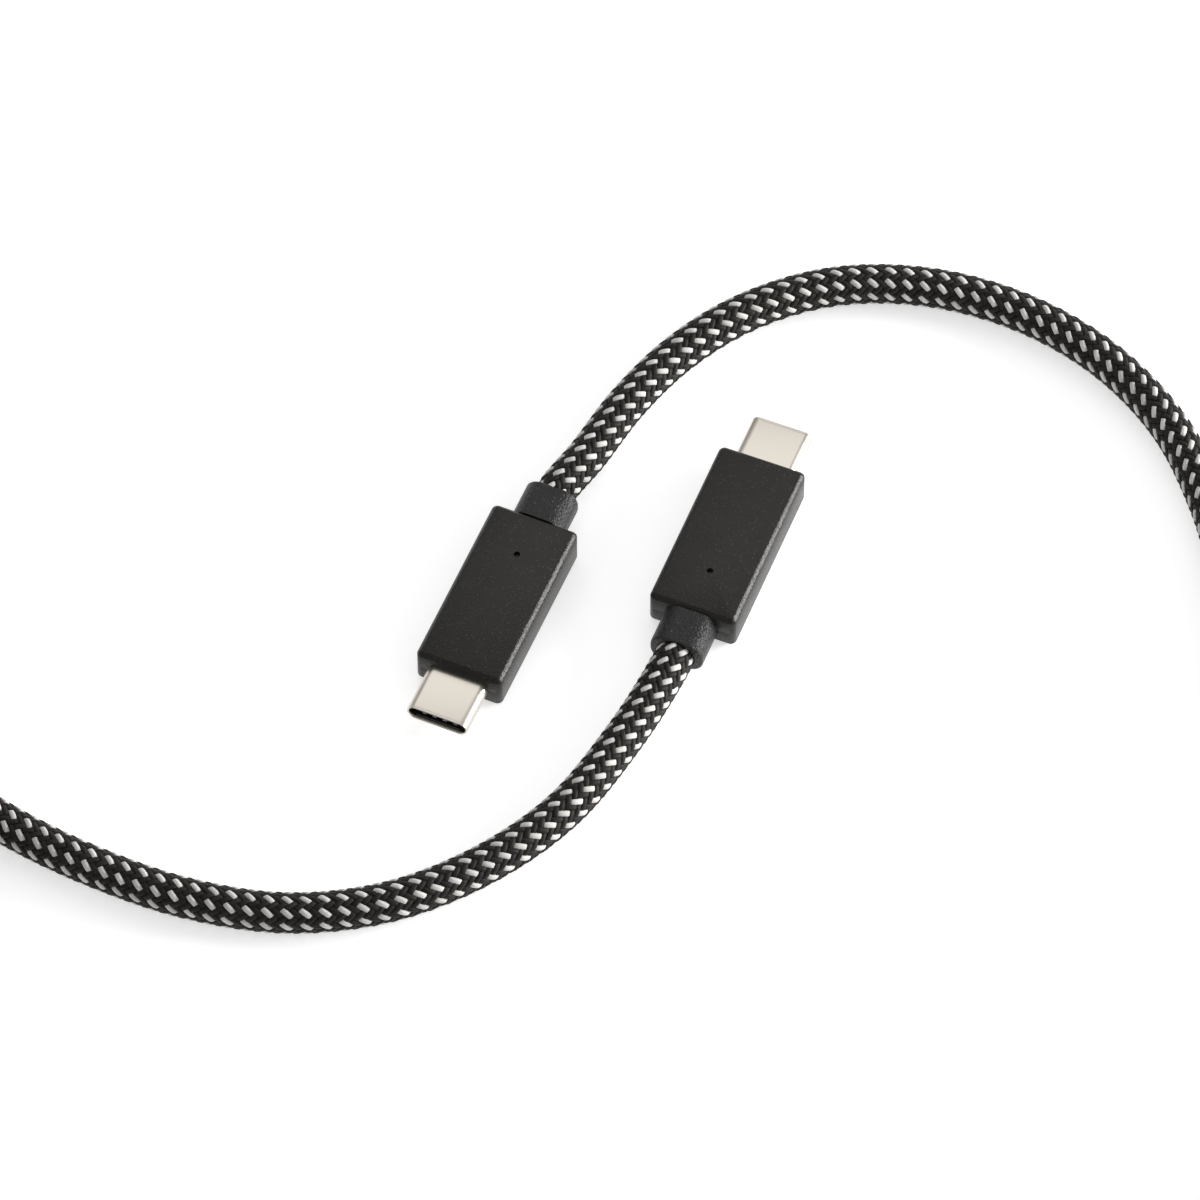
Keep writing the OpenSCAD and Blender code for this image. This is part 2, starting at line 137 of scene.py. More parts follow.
class StageSettings(bpy.types.PropertyGroup):
    """Camera, lights and floor."""

    elevation: bpy.props.FloatProperty(
        name="Elevation", description="Camera above the table", default=math.radians(56.6), subtype="ANGLE"
    )
    distance: bpy.props.FloatProperty(
        name="Distance", description="Camera from the point it looks at", default=1.2, unit="LENGTH"
    )
    lens: bpy.props.FloatProperty(name="Lens", description="Focal length in mm", default=284)
    look_at: bpy.props.FloatVectorProperty(
        name="Look at", description="Point at the middle of the view", default=(-0.0015, -0.0022, 0), unit="LENGTH"
    )
    floor_size: bpy.props.FloatProperty(
        name="Floor size", description="Side of the floor", default=6, unit="LENGTH"
    )
    table_glow: bpy.props.FloatProperty(name="Table glow", description="Light of the light table", default=0.56)
    room_light: bpy.props.FloatProperty(name="Room light", description="Even light of the room", default=0.45)
    side_light: bpy.props.FloatProperty(
        name="Side light", description="Low soft light at the right", default=11, unit="POWER"
    )
    overhead_light: bpy.props.FloatProperty(
        name="Overhead light", description="Large soft light above and behind", default=2.2, unit="POWER"
    )


GROUPS = {
    "cable_plug": PlugSettings,
    "cable_cord": CordSettings,
    "cable_finish": FinishSettings,
    "cable_stage": StageSettings,
}


def in_millimetres(settings, *others):
    """A group's lengths in millimetres: the modelling tools merge points that lie too close in metres."""
    names = [name for name in settings.__annotations__ if name not in others]
    return SimpleNamespace(**{name: getattr(settings, name) / MM for name in names})


def plug_sizes():
    return in_millimetres(bpy.context.scene.cable_plug)


def cord_sizes():
    return bpy.context.scene.cable_cord


def strap_sizes():
    return in_millimetres(cord_sizes(), "braid_angle", "white_place", "seed")


def colours():
    return bpy.context.scene.cable_finish


# ---- The cord's route, in millimetres ----

# Listed points on the table, half a cord up unless a height is given: plug a to the coil.
RUN_A = [
    (-7.5, 11.7, 2.8), (-3.2, 18.1), (2, 26.3), (8.5, 33.9), (17, 40.3), (28.8, 44.6), (41, 44.5),
    (52.6, 40.7), (62.8, 33.7), (71, 23.4), (76, 10.7), (78.8, -4), (80.5, -20), (82, -38),
    (83, -56), (83.2, -72), (82, -86), (76.5, -96.5), (66.5, -102), (52, -103), (36, -102.5),
    (18, -101.5), (0, -100.5), (-18, -100), (-36, -100), (-54, -100), (-70, -99.5),
    (-84, -97.5), (-97.5, -92.5), (-109.5, -84.5, 2.9), (-118.5, -75, 5.2),
    (-124.8, -65, 7.6), (-128.5, -55, 7.8), (-129.8, -45.2, 7.4),
]
# The coil to plug b.
RUN_B = [
    (-86.8, -28.1), (-76.5, -36.6), (-64, -43.7), (-52.5, -48.2), (-39.8, -50.3),
    (-27.7, -48.7), (-16.4, -43.6), (-6.4, -35.6), (1, -25.3), (5.8, -16.8), (8, -12.3, 2.8),
]
# The coil: a turn on top, then down inside for a turn, then outside for a turn, clockwise.
COIL_CENTRE = (-106.4, -45.2)
TOP_TURN, INNER_TURN, OUTER_TURN = 23.4, 20.8, 26.0
TOP_HEIGHT = 7.4
COIL_STARTS = 180
COIL_SWEEP = 859
COIL_STEP = 5
# Where round the coil, in degrees turned, the cord goes over the start, down, inwards and outwards.
OVER_START, COMES_DOWN, GOES_IN, GOES_OUT = (110, 139), (222, 290), (185, 285), (484, 604)
OVER_HEIGHT = 0.4
TIE_AT = 119
TIE_RAMP = (14, 44)
PIECES_PER_GAP = 12


def step(x, start, end):
    """0 before start, 1 after end and smooth between them."""
    t = min(1, max(0, (x - start) / (end - start)))
    return t * t * (3 - 2 * t)


def tie_lift(angle):
    """How far the tie's lower wall lifts a strand at that angle round the coil."""
    off = abs((angle - TIE_AT + 180) % 360 - 180)
    return cord_sizes().tie_thickness / MM * (1 - step(off, *TIE_RAMP))


def coil_point(turned, cord_radius):
    """The cord's place after turning that many degrees round the coil."""
    radius = TOP_TURN
    radius += (INNER_TURN - TOP_TURN) * step(turned, *GOES_IN)
    radius += (OUTER_TURN - INNER_TURN) * step(turned, *GOES_OUT)
    height = TOP_HEIGHT + OVER_HEIGHT * step(turned, *OVER_START)
    height += (cord_radius - TOP_HEIGHT - OVER_HEIGHT) * step(turned, *COMES_DOWN)
    angle = COIL_STARTS - turned
    x = COIL_CENTRE[0] + radius * math.cos(math.radians(angle))
    y = COIL_CENTRE[1] + radius * math.sin(math.radians(angle))
    return (x, y, height + tie_lift(angle))


def smooth_line(points):
    """A smooth curve through points that may be unevenly spaced."""
    p = np.array(points, float)
    p = np.vstack([2 * p[0] - p[1], p, 2 * p[-1] - p[-2]])
    gap = np.linalg.norm(np.diff(p, axis=0), axis=1)[:, None]
    pace = np.diff(p, axis=0) / gap
    slope = (gap[1:] * pace[:-1] + gap[:-1] * pace[1:]) / (gap[:-1] + gap[1:])
    t = np.linspace(0, 1, PIECES_PER_GAP, endpoint=False)[:, None]
    spans = []
    for start, end, leaving, coming, length in zip(p[1:-2], p[2:-1], slope, slope[1:], gap[1:]):
        spans.append(
            (2 * t**3 - 3 * t**2 + 1) * start + (t**3 - 2 * t**2 + t) * leaving * length
            + (3 * t**2 - 2 * t**3) * end + (t**3 - t**2) * coming * length
        )
    return np.vstack([*spans, p[-2:-1]])


def plug_place(plug):
    """Takes a plug's own frame, in mm, to the table: origin at the case's middle, +X to the tip."""
    mounts = {m["name"]: m for m in frame["record"]["mounts"]}
    under = Vector(mounts[f"plug_{plug}_underside"]["pos_m"])
    way = Vector(mounts[f"plug_{plug}_tip"]["axis"])
    turn = Matrix.Rotation(math.atan2(way.y, way.x), 4, "Z")
    middle = Vector((0, 0, plug_sizes().case_height / 2 * MM))
    return Matrix.Translation(under + middle) @ turn @ Matrix.Scale(MM, 4)


def seat_point(plug):
    """Where the cord ends inside a plug's strain relief."""
    s = plug_sizes()
    x = -s.case_length / 2 - s.relief_length + strap_sizes().seat_depth
    return np.array(plug_place(plug) @ Vector((x, 0, 0)))


def cord_line():
    """The cord's whole centreline in metres, from plug a's seat to plug b's."""
    radius = cord_sizes().diameter / MM / 2
    points = [p if len(p) == 3 else (*p, radius) for p in RUN_A]
    turned = range(COIL_STEP, COIL_SWEEP - COIL_STEP // 2, COIL_STEP)
    points += [coil_point(t, radius) for t in turned]
    points += [p if len(p) == 3 else (*p, radius) for p in RUN_B]
    points = np.array(points) * MM
    return smooth_line(np.vstack([seat_point("a"), points, seat_point("b")]))


class Line:
    """A centreline resampled at even steps, with the way it runs, its right and its up."""

    def __init__(self, points, step_length):
        gaps = np.linalg.norm(np.diff(points, axis=0), axis=1)
        along = np.concatenate([[0], np.cumsum(gaps)])
        self.length = along[-1]
        self.count = int(round(self.length / step_length)) + 1
        self.at = np.linspace(0, self.length, self.count)
        self.points = np.stack([np.interp(self.at, along, points[:, i]) for i in range(3)], -1)
        way = np.gradient(self.points, axis=0)
        way /= np.linalg.norm(way, axis=1)[:, None]
        right = np.cross(way, (0, 0, 1))
        self.right = right / np.linalg.norm(right, axis=1)[:, None]
        self.up = np.cross(self.right, way)

    def surface(self, s, angle, radius):
        """Points at distance s along, at an angle from the top towards the right, that far out."""
        where = np.clip(s / self.length, 0, 1) * (self.count - 1)
        low = np.minimum(where.astype(int), self.count - 2)
        share = (where - low)[..., None]

        def mixed(values):
            return values[low] * (1 - share) + values[low + 1] * share

        out = np.cos(angle)[..., None] * mixed(self.up) + np.sin(angle)[..., None] * mixed(self.right)
        return mixed(self.points) + radius[..., None] * out


# ---- Modelling ----

ROD_SIDES = 48
SAME_PLACE = 1e-3


def deselect():
    if bpy.context.mode != "OBJECT":
        bpy.ops.object.mode_set(mode="OBJECT")
    bpy.ops.object.select_all(action="DESELECT")


def activate(piece):
    deselect()
    piece.select_set(True)
    bpy.context.view_layer.objects.active = piece


def named(name):
    """The active object, with that name and its place in its mesh."""
    piece = bpy.context.active_object
    piece.name = name
    piece.data.name = name
    bpy.ops.object.transform_apply(location=True, rotation=True, scale=True)
    return piece


def block(name, size, centre):
    deselect()
    bpy.ops.mesh.primitive_cube_add(size=1, location=centre)
    bpy.context.active_object.scale = size
    return named(name)


def rod(name, radius, length, centre, upright=False):
    """A cylinder along X, or upright."""
    deselect()
    bpy.ops.mesh.primitive_cylinder_add(
        vertices=ROD_SIDES, radius=radius, depth=length, location=centre,
        rotation=(0, 0 if upright else math.pi / 2, 0),
    )
    return named(name)


def edit(piece, kind):
    """Deselects all of a piece, ready to select its points, edges or faces."""
    activate(piece)
    bpy.ops.object.mode_set(mode="EDIT")
    bpy.ops.mesh.select_mode(type=kind)
    bpy.ops.mesh.select_all(action="DESELECT")
    bpy.ops.object.mode_set(mode="OBJECT")


def select_edges(piece, test):
    """Selects each edge whose two ends pass the test, and opens the piece for editing."""
    edit(piece, "EDGE")
    v = piece.data.vertices
    for e in piece.data.edges:
        e.select = bool(test(v[e.vertices[0]].co, v[e.vertices[1]].co))
    bpy.ops.object.mode_set(mode="EDIT")


def select_faces(piece, test):
    """Selects each face whose centre and normal pass the test, and opens the piece for editing."""
    edit(piece, "FACE")
    for f in piece.data.polygons:
        f.select = bool(test(f.center, f.normal))
    bpy.ops.object.mode_set(mode="EDIT")


def select_points(piece, test):
    edit(piece, "VERT")
    for v in piece.data.vertices:
        v.select = bool(test(v.co))
    bpy.ops.object.mode_set(mode="EDIT")


def rounded(piece, test, radius, segments, profile=0.5):
    """Rounds the edges that pass the test; a profile under 0.5 is flatter, nearer to a chamfer."""
    select_edges(piece, test)
    bpy.ops.mesh.bevel(offset=radius, segments=segments, affect="EDGES", profile=profile)
    bpy.ops.object.mode_set(mode="OBJECT")


def near(a, b):
    return abs(a - b) < SAME_PLACE


def cut_along(piece, place, normal, keep=None):
    """Cuts a piece with a plane; keep says which side stays, capped, or both if it is None."""
    activate(piece)
    bpy.ops.object.mode_set(mode="EDIT")
    bpy.ops.mesh.select_all(action="SELECT")
    bpy.ops.mesh.bisect(
        plane_co=place, plane_no=normal, use_fill=keep is not None,
        clear_inner=keep == "outer", clear_outer=keep == "inner",
    )
    bpy.ops.mesh.select_all(action="SELECT")
    bpy.ops.mesh.normals_make_consistent(inside=False)
    bpy.ops.object.mode_set(mode="OBJECT")


def combine(piece, tool, operation):
    """Cuts the tool out of a piece, or adds it, and removes the tool."""
    change = piece.modifiers.new(operation.lower(), "BOOLEAN")
    change.operation = operation
    change.object = tool
    change.solver = "EXACT"
    activate(piece)
    bpy.ops.object.modifier_apply(modifier=change.name)
    bpy.data.objects.remove(tool)


def thicken(piece, thickness):
    """Gives an open sheet its thickness, inwards."""
    wall = piece.modifiers.new("wall", "SOLIDIFY")
    wall.thickness = thickness
    wall.offset = -1
    wall.use_even_offset = True
    activate(piece)
    bpy.ops.object.modifier_apply(modifier=wall.name)


def oval_bar(name, length, width, height, centre_x, segments=12):
    """A bar along X with fully round sides."""
    bar = block(name, (length, width, height), (centre_x, 0, 0))
    rounded(bar, lambda a, b: not near(a.x, b.x), height / 2 * 0.998, segments)
    return bar


def copied(piece, name):
    """A copy of a piece, with its own mesh."""
    twin = piece.copy()
    twin.data = piece.data.copy()
    twin.name = name
    twin.data.name = name
    bpy.context.scene.collection.objects.link(twin)
    return twin


def smooth(piece):
    activate(piece)
    bpy.ops.object.shade_smooth_by_angle(angle=math.radians(35))


def to_plugs(piece, stem, material):
    """Puts a piece and its copy into the two plugs, in place of their CAD nodes."""
    smooth(piece)
    piece.data.materials.clear()
    piece.data.materials.append(material)
    twins = {"a": piece, "b": copied(piece, f"{stem}_b")}
    for plug, twin in twins.items():
        twin.name = twin.data.name = f"{stem}_{plug}_finished"
        twin.data.transform(plug_place(plug))
        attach(twin, "root")
        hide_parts(f"{stem}_{plug}")


def mesh_piece(name, points, faces, materials):
    mesh = bpy.data.meshes.new(name)
    mesh.from_pydata(points, [], faces)
    for m in materials:
        mesh.materials.append(m)
    piece = bpy.data.objects.new(name, mesh)
    bpy.context.scene.collection.objects.link(piece)
    return piece


# ---- Finishes ----


def socket(tree, name, kind, default=None, way="INPUT"):
    made = tree.interface.new_socket(name, in_out=way, socket_type=f"NodeSocket{kind}")
    if default is not None:
        made.default_value = default


class Nodes:
    """Adds nodes to a tree and joins them."""

    def __init__(self, tree):
        self.tree = tree

    def add(self, kind, inputs=None, **settings):
        node = self.tree.nodes.new(f"ShaderNode{kind}")
        for key, value in settings.items():
            setattr(node, key, value)
        for key, value in (inputs or {}).items():
            if isinstance(value, bpy.types.NodeSocket):
                self.tree.links.new(value, node.inputs[key])
            else:
                node.inputs[key].default_value = value
        return node

    def math(self, operation, a, b=0.0, clamp=False):
        return self.add("Math", {0: a, 1: b}, operation=operation, use_clamp=clamp).outputs[0]

    def mix(self, factor, a, b):
        node = self.add("Mix", data_type="RGBA")
        for key, value in ((0, factor), (6, a), (7, b)):
            if isinstance(value, bpy.types.NodeSocket):
                self.tree.links.new(value, node.inputs[key])
            else:
                node.inputs[key].default_value = value if key == 0 else (*value, 1)
        return node.outputs[2]

    def spread(self, value, low, high):
        """value, from 0 to 1, carried to the range from low to high."""
        node = self.add("MapRange", {"Value": value, "To Min": low, "To Max": high})
        return node.outputs[0]


def effect(name, inputs, outputs):
    """An empty node group: its tools, its inputs and the node that takes its outputs."""
    tree = bpy.data.node_groups.new(name, "ShaderNodeTree")
    for socket_name, kind, default in inputs:
        socket(tree, socket_name, kind, default)
    for socket_name, kind in outputs:
        socket(tree, socket_name, kind, way="OUTPUT")
    n = Nodes(tree)
    return tree, n, tree.nodes.new("NodeGroupInput")


def ends(tree, values):
    out = tree.nodes.new("NodeGroupOutput")
    for name, value in values.items():
        tree.links.new(value, out.inputs[name])


def grain_effect():
    """Spark-eroded mould grain: fine bumps, cloudy tone, and scattered bright flecks that are painted glints of the
    grain.
    """
    tree, n, given = effect(
        "moulded grain",
        [("Grain", "Float", 8000.0), ("Glint Share", "Float", 0.03)],
        [("Height", "Float"), ("Painted Glint", "Float"), ("Shade", "Float")],
    )
    place = n.add("TexCoord").outputs["Object"]
    fine = n.add("TexNoise", {"Vector": place, "Scale": given.outputs["Grain"], "Detail": 2.0})
    cells = n.add("TexVoronoi", {"Vector": place, "Scale": given.outputs["Grain"]})
    drawn = n.add("SeparateColor", {0: cells.outputs["Color"]})
    # A small share of the grain's cells turns bright: painted glints of the grain, not a colour of the plastic.
    limit = n.math("SUBTRACT", 1.0, given.outputs["Glint Share"])
    bright = n.math("GREATER_THAN", drawn.outputs[0], limit)
    middle = n.math("LESS_THAN", cells.outputs["Distance"], 0.42)
    cloud = n.add("TexNoise", {"Vector": place, "Scale": 420.0, "Detail": 3.0})
    ends(tree, {
        "Height": fine.outputs["Fac"],
        "Painted Glint": n.math("MULTIPLY", bright, middle),
        "Shade": n.math(
            "ADD", n.math("MULTIPLY", cloud.outputs["Fac"], 0.35), n.math("MULTIPLY", fine.outputs["Fac"], 0.65)
        ),
    })
    return tree


def brushed_effect():
    """Drawn sheet: short fine lines along the plugs, and soft smudges."""
    tree, n, given = effect(
        "drawn metal",
        [("Smudges", "Float", 260.0)],
        [("Height", "Float"), ("Smudge", "Float")],
    )
    place = n.add("TexCoord").outputs["Object"]
    along = n.add(
        "Mapping", {"Vector": place, "Rotation": (0, 0, math.radians(67.5)), "Scale": (4e-4, 1.4e-4, 1.4e-4)},
        vector_type="TEXTURE",
    )
    lines = n.add("TexNoise", {"Vector": along.outputs[0], "Scale": 1.0, "Detail": 3.0})
    smudge = n.add("TexNoise", {"Vector": place, "Scale": given.outputs["Smudges"], "Detail": 4.0})
    ends(tree, {"Height": lines.outputs["Fac"], "Smudge": smudge.outputs["Fac"]})
    return tree


def yarn_effect():
    """Filaments that run along a float, from its own UV map, with each float's own tint."""
    tree, n, given = effect(
        "yarn filaments",
        [("Filaments", "Float", 9.0)],
        [("Height", "Float"), ("Shade", "Float")],
    )
    uv = n.add("UVMap", uv_map="yarn").outputs[0]
    tint = n.add("Attribute", attribute_name="tint").outputs["Fac"]
    parts = n.add("SeparateXYZ", {0: uv})
    along = n.math("MULTIPLY", parts.outputs[0], 1.6)
    across = n.math("MULTIPLY", parts.outputs[1], given.outputs["Filaments"])
    where = n.add("CombineXYZ", {0: along, 1: across, 2: n.math("MULTIPLY", tint, 50.0)})
    lines = n.add("TexNoise", {"Vector": where.outputs[0], "Scale": 1.0, "Detail": 2.0})
    own = n.math("MULTIPLY", tint, 0.5)
    ends(tree, {
        "Height": lines.outputs["Fac"],
        "Shade": n.math("ADD", n.math("MULTIPLY", lines.outputs["Fac"], 0.75), n.math("SUBTRACT", own, 0.12), True),
    })
    return tree


EFFECTS = {}


def made_effect(name):
    """A shared node group, built the first time that it is asked for."""
    makers = {"grain": grain_effect, "brushed": brushed_effect, "yarn": yarn_effect}
    if name not in EFFECTS:
        EFFECTS[name] = makers[name]()
    return EFFECTS[name]


def material(name, **plain):
    """A material and its tools; plain values go straight onto the shader's own sockets."""
    made = bpy.data.materials.new(name)
    made.use_nodes = True
    shader = made.node_tree.nodes["Principled BSDF"]
    for key, value in plain.items():
        shader.inputs[key.replace("_", " ")].default_value = value
    return made, Nodes(made.node_tree), shader


def join(n, shader, **links):
    for key, value in links.items():
        n.tree.links.new(value, shader.inputs[key.replace("_", " ")])


def shades(colour, low, high):
    return [c * low for c in colour], [c * high for c in colour]


def moulded(name, colour, grain, glint_share, glint_colour, roughness, depth, specular=0.22):
    """Moulded plastic with a spark-eroded grain."""
    made, n, shader = material(name, Specular_IOR_Level=specular)
    g = n.add("Group", node_tree=made_effect("grain"))
    g.inputs["Grain"].default_value = grain
    g.inputs["Glint Share"].default_value = glint_share
    dark, light = shades(colour, 0.3, 1.8)
    base = n.mix(g.outputs["Shade"], dark, light)
    # Painted glints: the grain's bright cells are mixed into the base colour.
    base = n.mix(g.outputs["Painted Glint"], base, glint_colour)
    bump = n.add("Bump", {"Height": g.outputs["Height"], "Strength": 1.0, "Distance": depth})
    rough = n.spread(g.outputs["Height"], roughness - 0.12, roughness + 0.12)
    join(n, shader, Base_Color=base, Roughness=rough, Normal=bump.outputs[0])
    return made


def sheet_metal(name, colour, roughness, depth=2e-6):
    """Plated or drawn sheet metal."""
    made, n, shader = material(name, Metallic=1.0)
    g = n.add("Group", node_tree=made_effect("brushed"))
    dark, light = shades(colour, 0.93, 1.04)
    bump = n.add("Bump", {"Height": g.outputs["Height"], "Strength": 0.6, "Distance": depth})
    rough = n.spread(g.outputs["Smudge"], roughness - 0.06, roughness + 0.08)
    join(n, shader, Base_Color=n.mix(g.outputs["Smudge"], dark, light), Roughness=rough, Normal=bump.outputs[0])
    return made


def yarn(name, colour, low, high, roughness, sheen):
    """Twisted filament yarn."""
    made, n, shader = material(
        name, Roughness=roughness, Sheen_Weight=sheen, Sheen_Roughness=0.4, Specular_IOR_Level=0.2
    )
    g = n.add("Group", node_tree=made_effect("yarn"))
    dark, light = shades(colour, low, high)
    bump = n.add("Bump", {"Height": g.outputs["Height"], "Strength": 0.8, "Distance": 5e-5})
    join(n, shader, Base_Color=n.mix(g.outputs["Shade"], dark, light), Normal=bump.outputs[0])
    return made


def coated(name, colour, roughness):
    """Extruded insulation, solder resist or ceramic: smooth, with faint clouds and scuffs."""
    made, n, shader = material(name)
    place = n.add("TexCoord").outputs["Object"]
    cloud = n.add("TexNoise", {"Vector": place, "Scale": 1500.0, "Detail": 3.0})
    dark, light = shades(colour, 0.85, 1.12)
    bump = n.add("Bump", {"Height": cloud.outputs["Fac"], "Strength": 0.5, "Distance": 4e-6})
    rough = n.spread(cloud.outputs["Fac"], roughness - 0.1, roughness + 0.1)
    join(n, shader, Base_Color=n.mix(cloud.outputs["Fac"], dark, light), Roughness=rough, Normal=bump.outputs[0])
    return made


def looped_fabric(name, colour):
    """The loop side of a hook-and-loop strap: a dense nap over a woven ground."""
    made, n, shader = material(name, Roughness=0.95, Sheen_Weight=0.5, Sheen_Roughness=0.5)
    place = n.add("TexCoord").outputs["Object"]
    nap = n.add("TexVoronoi", {"Vector": place, "Scale": 3600.0})
    fuzz = n.add("TexNoise", {"Vector": place, "Scale": 9000.0, "Detail": 3.0})
    height = n.math("ADD", nap.outputs["Distance"], fuzz.outputs["Fac"])
    dark, light = shades(colour, 0.5, 2.0)
    bump = n.add("Bump", {"Height": height, "Strength": 0.9, "Distance": 8e-5})
    join(n, shader, Base_Color=n.mix(fuzz.outputs["Fac"], dark, light), Normal=bump.outputs[0])
    return made


MATERIALS = {}


def make_materials():
    """Every finish of the cable, by name."""
    c = colours()
    MATERIALS.update(
        # The fourth and fifth values of each moulded finish are the share and the colour of its painted glints.
        case=moulded("case plastic", c.case, 4600.0, 0.09, (0.045, 0.04, 0.034), 0.33, 5.5e-5, 0.28),
        relief=moulded("relief plastic", c.relief, 3600.0, 0.04, (0.08, 0.078, 0.075), 0.36, 2e-4, 0.3),
        insulator=moulded("insulator plastic", (0.01, 0.01, 0.01), 9000.0, 0.0, (0.1, 0.1, 0.1), 0.4, 4e-6),
        chip=moulded("chip epoxy", (0.02, 0.02, 0.022), 14000.0, 0.01, (0.1, 0.1, 0.1), 0.6, 4e-6),
        shell=sheet_metal("nickel plate", c.shell, 0.3),
        gold=sheet_metal("gold flash", (0.86, 0.62, 0.25), 0.25, 1e-6),
        steel=sheet_metal("spring steel", (0.62, 0.61, 0.58), 0.3, 1e-6),
        tin=sheet_metal("tinned sheet", (0.6, 0.58, 0.53), 0.4),
        copper=sheet_metal("bare copper", (0.72, 0.36, 0.2), 0.3),
        board=coated("solder resist", (0.02, 0.1, 0.045), 0.3),
        ceramic=coated("capacitor ceramic", (0.34, 0.24, 0.15), 0.4),
        jacket=coated("jacket rubber", (0.022, 0.022, 0.024), 0.6),
        red_wire=coated("red insulation", (0.55, 0.025, 0.02), 0.35),
        white_wire=coated("white insulation", (0.75, 0.75, 0.72), 0.35),
        white_yarn=yarn("white yarn", c.white_yarn, 0.7, 1.15, 0.62, 0.1),
        black_yarn=yarn("black yarn", c.black_yarn, 0.4, 2.2, 0.6, 0.02),
        tie=looped_fabric("loop fabric", c.tie),
    )


# ---- Cord ----


def cord_taper(s, length):
    """The cord's share of its free size: it is squeezed where it goes into a strain relief."""
    c = cord_sizes()
    squeezed = c.seat_radius / (c.diameter / 2) - 0.015
    end = np.minimum(s, length - s) - c.seat_depth
    t = np.clip((end + 0.4 * MM) / (1.6 * MM), 0, 1)
    return squeezed + (1 - squeezed) * t * t * (3 - 2 * t)


CORE_SIDES = 16


def cord_core(line):
    """The cord's jacket and the hidden part of its braid: a plain closed tube."""
    c = cord_sizes()
    count = int(line.length / c.strand_pitch)
    s = np.linspace(0, line.length, count)[:, None]
    angle = np.linspace(0, 2 * math.pi, CORE_SIDES, endpoint=False)[None, :]
    radius = (c.diameter / 2 - c.float_crown + 0.04 * MM) * cord_taper(s, line.length)
    s, angle, radius = np.broadcast_arrays(s, angle, radius)
    points = line.surface(s, angle, radius).reshape(-1, 3)
    faces = []
    for i in range(count - 1):
        for k in range(CORE_SIDES):
            a, b = i * CORE_SIDES + k, i * CORE_SIDES + (k + 1) % CORE_SIDES
            faces.append((a, b, b + CORE_SIDES, a + CORE_SIDES))
    last = (count - 1) * CORE_SIDES
    faces.append(tuple(range(CORE_SIDES))[::-1])
    faces.append(tuple(range(last, last + CORE_SIDES)))
    core = mesh_piece("cord_core", points.tolist(), faces, [MATERIALS["black_yarn"]])
    smooth(core)
    return core


# One float: rings along it, and points across it from edge to edge over its crown.
ALONG = np.array([-1.0, -0.74, -0.3, 0.3, 0.74, 1.0])
LIFT = np.array([0.0, 0.7, 1.0, 1.0, 0.7, 0.0])
BREADTH = np.array([0.8, 0.97, 1.0, 1.0, 0.97, 0.8])
ACROSS = np.array([-1.0, -0.66, 0.0, 0.66, 1.0])
CROWN = np.array([0.0, 0.76, 1.0, 0.76, 0.0])
STRIPS = 16
BRAID_PIECES = 4
# Small differences between floats: place in mm, angle round the cord in radians, lean in degrees.
PLACE_SPREAD, ANGLE_SPREAD, LEAN_SPREAD = 0.03, 0.012, 1.5


def float_places(line, rng):
    """Every float of the braid: its place along and round the cord, its hand and its colour."""
    c = cord_sizes()
    rows = int(line.length / c.strand_pitch)
    rows_at, strips = np.meshgrid(np.arange(rows), np.arange(STRIPS), indexing="ij")
    other_hand = strips % 2
    s = (rows_at + 0.5 + 0.5 * other_hand) * c.strand_pitch
    angle = c.white_place + strips * 2 * math.pi / STRIPS
    white = (other_hand == 0) & (rows_at % 2 == 0)
    s = s + rng.normal(0, PLACE_SPREAD * MM, s.shape)
    angle = angle + rng.normal(0, ANGLE_SPREAD, s.shape)
    return s.ravel(), angle.ravel(), np.where(other_hand == 0, 1, -1).ravel(), white.ravel()


